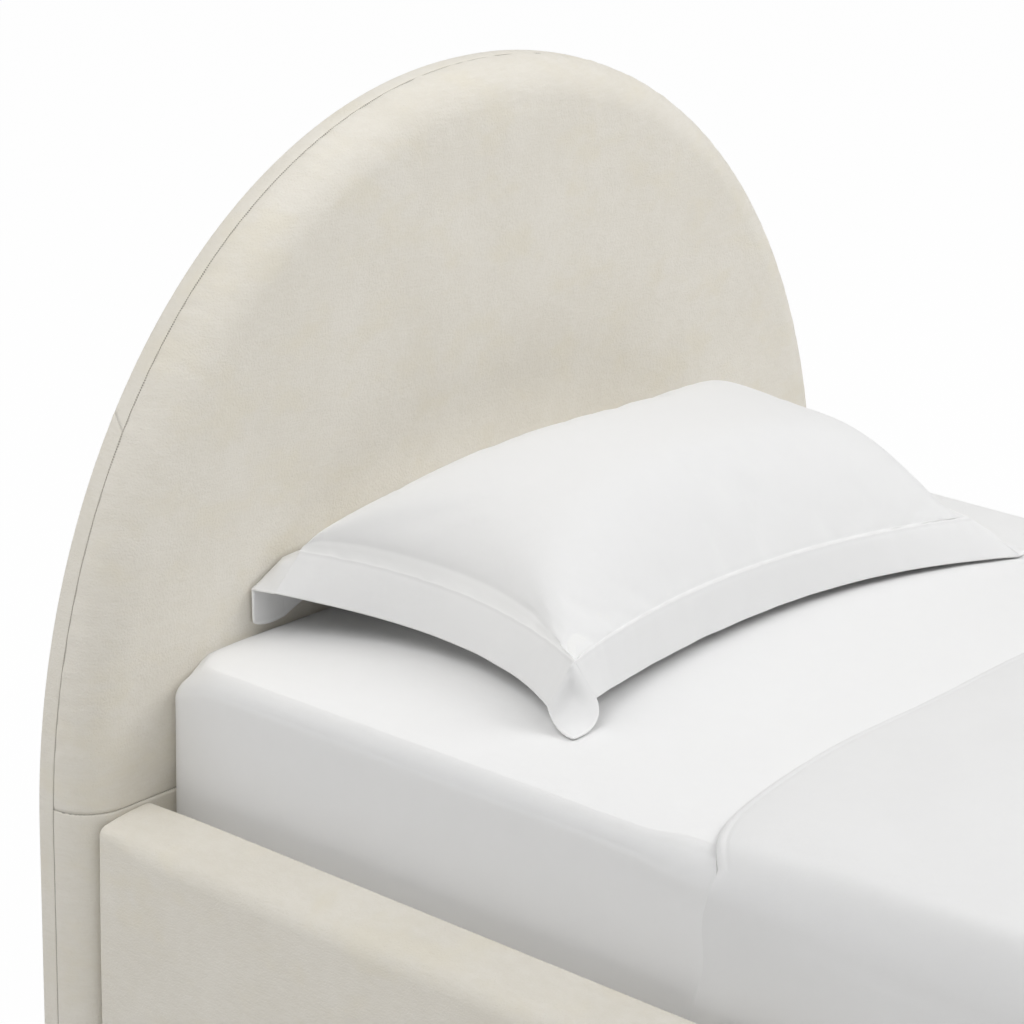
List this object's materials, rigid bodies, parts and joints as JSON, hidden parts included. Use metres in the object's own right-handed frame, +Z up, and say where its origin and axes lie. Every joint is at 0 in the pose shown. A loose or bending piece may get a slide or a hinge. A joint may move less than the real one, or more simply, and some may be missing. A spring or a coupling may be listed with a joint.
{
  "type": "platform bed",
  "caption": "Upholstered platform bed: tall arched bull-nosed headboard, padded rails round a slatted deck, made up with a fitted sheet, a flanged pillow and a duvet.",
  "frame": {"origin": "centre of the bed's footprint on the floor", "axes": "+Y along the bed towards the headboard, +X across it to the right of someone who looks from the foot to the headboard, +Z up"},
  "size_m": [1.184, 2.074, 1.018],
  "materials": {
    "velvet": "matte",
    "foam": "matte",
    "plywood": "matte",
    "timber": "matte",
    "bracket_steel": "satin",
    "fastener_zinc": "satin",
    "black_plastic": "matte",
    "back_cloth": "matte",
    "strap_webbing": "matte",
    "mattress_ticking": "matte",
    "white_cotton": "matte",
    "pillow_ticking": "matte",
    "duvet_cotton": "matte"
  },
  "bodies": {
    "bed_frame": {"headboard_panel": "plywood", "headboard_left_stile": "timber", "headboard_right_stile": "timber", "headboard_lower_rail": "timber", "headboard_middle_rail": "timber", "headboard_arch_rib": "plywood", "headboard_upright": "timber", "headboard_mounting_blocks": "timber", "headboard_foam": "foam", "headboard_upper_cover": "velvet", "headboard_lower_cover": "velvet", "headboard_left_band": "velvet", "headboard_top_band": "velvet", "headboard_right_band": "velvet", "headboard_back_cloth": "back_cloth", "headboard_glides": "black_plastic", "left_rail_board": "plywood", "left_rail_foam": "foam", "left_rail_cover": "velvet", "right_rail_board": "plywood", "right_rail_foam": "foam", "right_rail_cover": "velvet", "foot_rail_board": "plywood", "foot_rail_foam": "foam", "foot_rail_cover": "velvet", "left_slat_ledger": "timber", "right_slat_ledger": "timber", "slat_01": "timber", "slat_02": "timber", "slat_03": "timber", "slat_04": "timber", "slat_05": "timber", "slat_06": "timber", "slat_07": "timber", "slat_08": "timber", "slat_09": "timber", "slat_10": "timber", "slat_11": "timber", "slat_12": "timber", "slat_straps": "strap_webbing", "centre_beam": "timber", "beam_hangers": "bracket_steel", "centre_leg_head": "timber", "centre_leg_middle": "timber", "centre_leg_foot": "timber", "head_corner_brackets": "bracket_steel", "foot_corner_brackets": "bracket_steel", "bracket_bolts": "fastener_zinc", "threaded_inserts": "fastener_zinc", "wood_screws": "fastener_zinc", "foot_corner_blocks": "timber", "rail_feet": "black_plastic"},
    "levelling_foot_head": {"levelling_foot_head": "black_plastic"},
    "levelling_foot_middle": {"levelling_foot_middle": "black_plastic"},
    "levelling_foot_foot": {"levelling_foot_foot": "black_plastic"},
    "mattress": {"mattress": "mattress_ticking", "fitted_sheet": "white_cotton"},
    "pillow": {"pillow": "pillow_ticking", "pillow_sham": "white_cotton"},
    "duvet": {"duvet": "duvet_cotton"}
  },
  "joints": [
    {"name": "mattress_lift", "type": "slide", "parent": "bed_frame", "child": "mattress", "axis": [0, 0, 1], "range_m": [0, 0.45]},
    {"name": "pillow_lift", "type": "slide", "parent": "mattress", "child": "pillow", "axis": [0, 0, 1], "range_m": [0, 0.3]},
    {"name": "duvet_lift", "type": "slide", "parent": "mattress", "child": "duvet", "axis": [0, 0, 1], "range_m": [0, 0.35]},
    {"name": "levelling_screw_head", "type": "slide", "parent": "bed_frame", "child": "levelling_foot_head", "axis": [0, 0, -1], "range_m": [0, 0.012]},
    {"name": "levelling_screw_middle", "type": "slide", "parent": "bed_frame", "child": "levelling_foot_middle", "axis": [0, 0, -1], "range_m": [0, 0.012]},
    {"name": "levelling_screw_foot", "type": "slide", "parent": "bed_frame", "child": "levelling_foot_foot", "axis": [0, 0, -1], "range_m": [0, 0.012]}
  ]
}
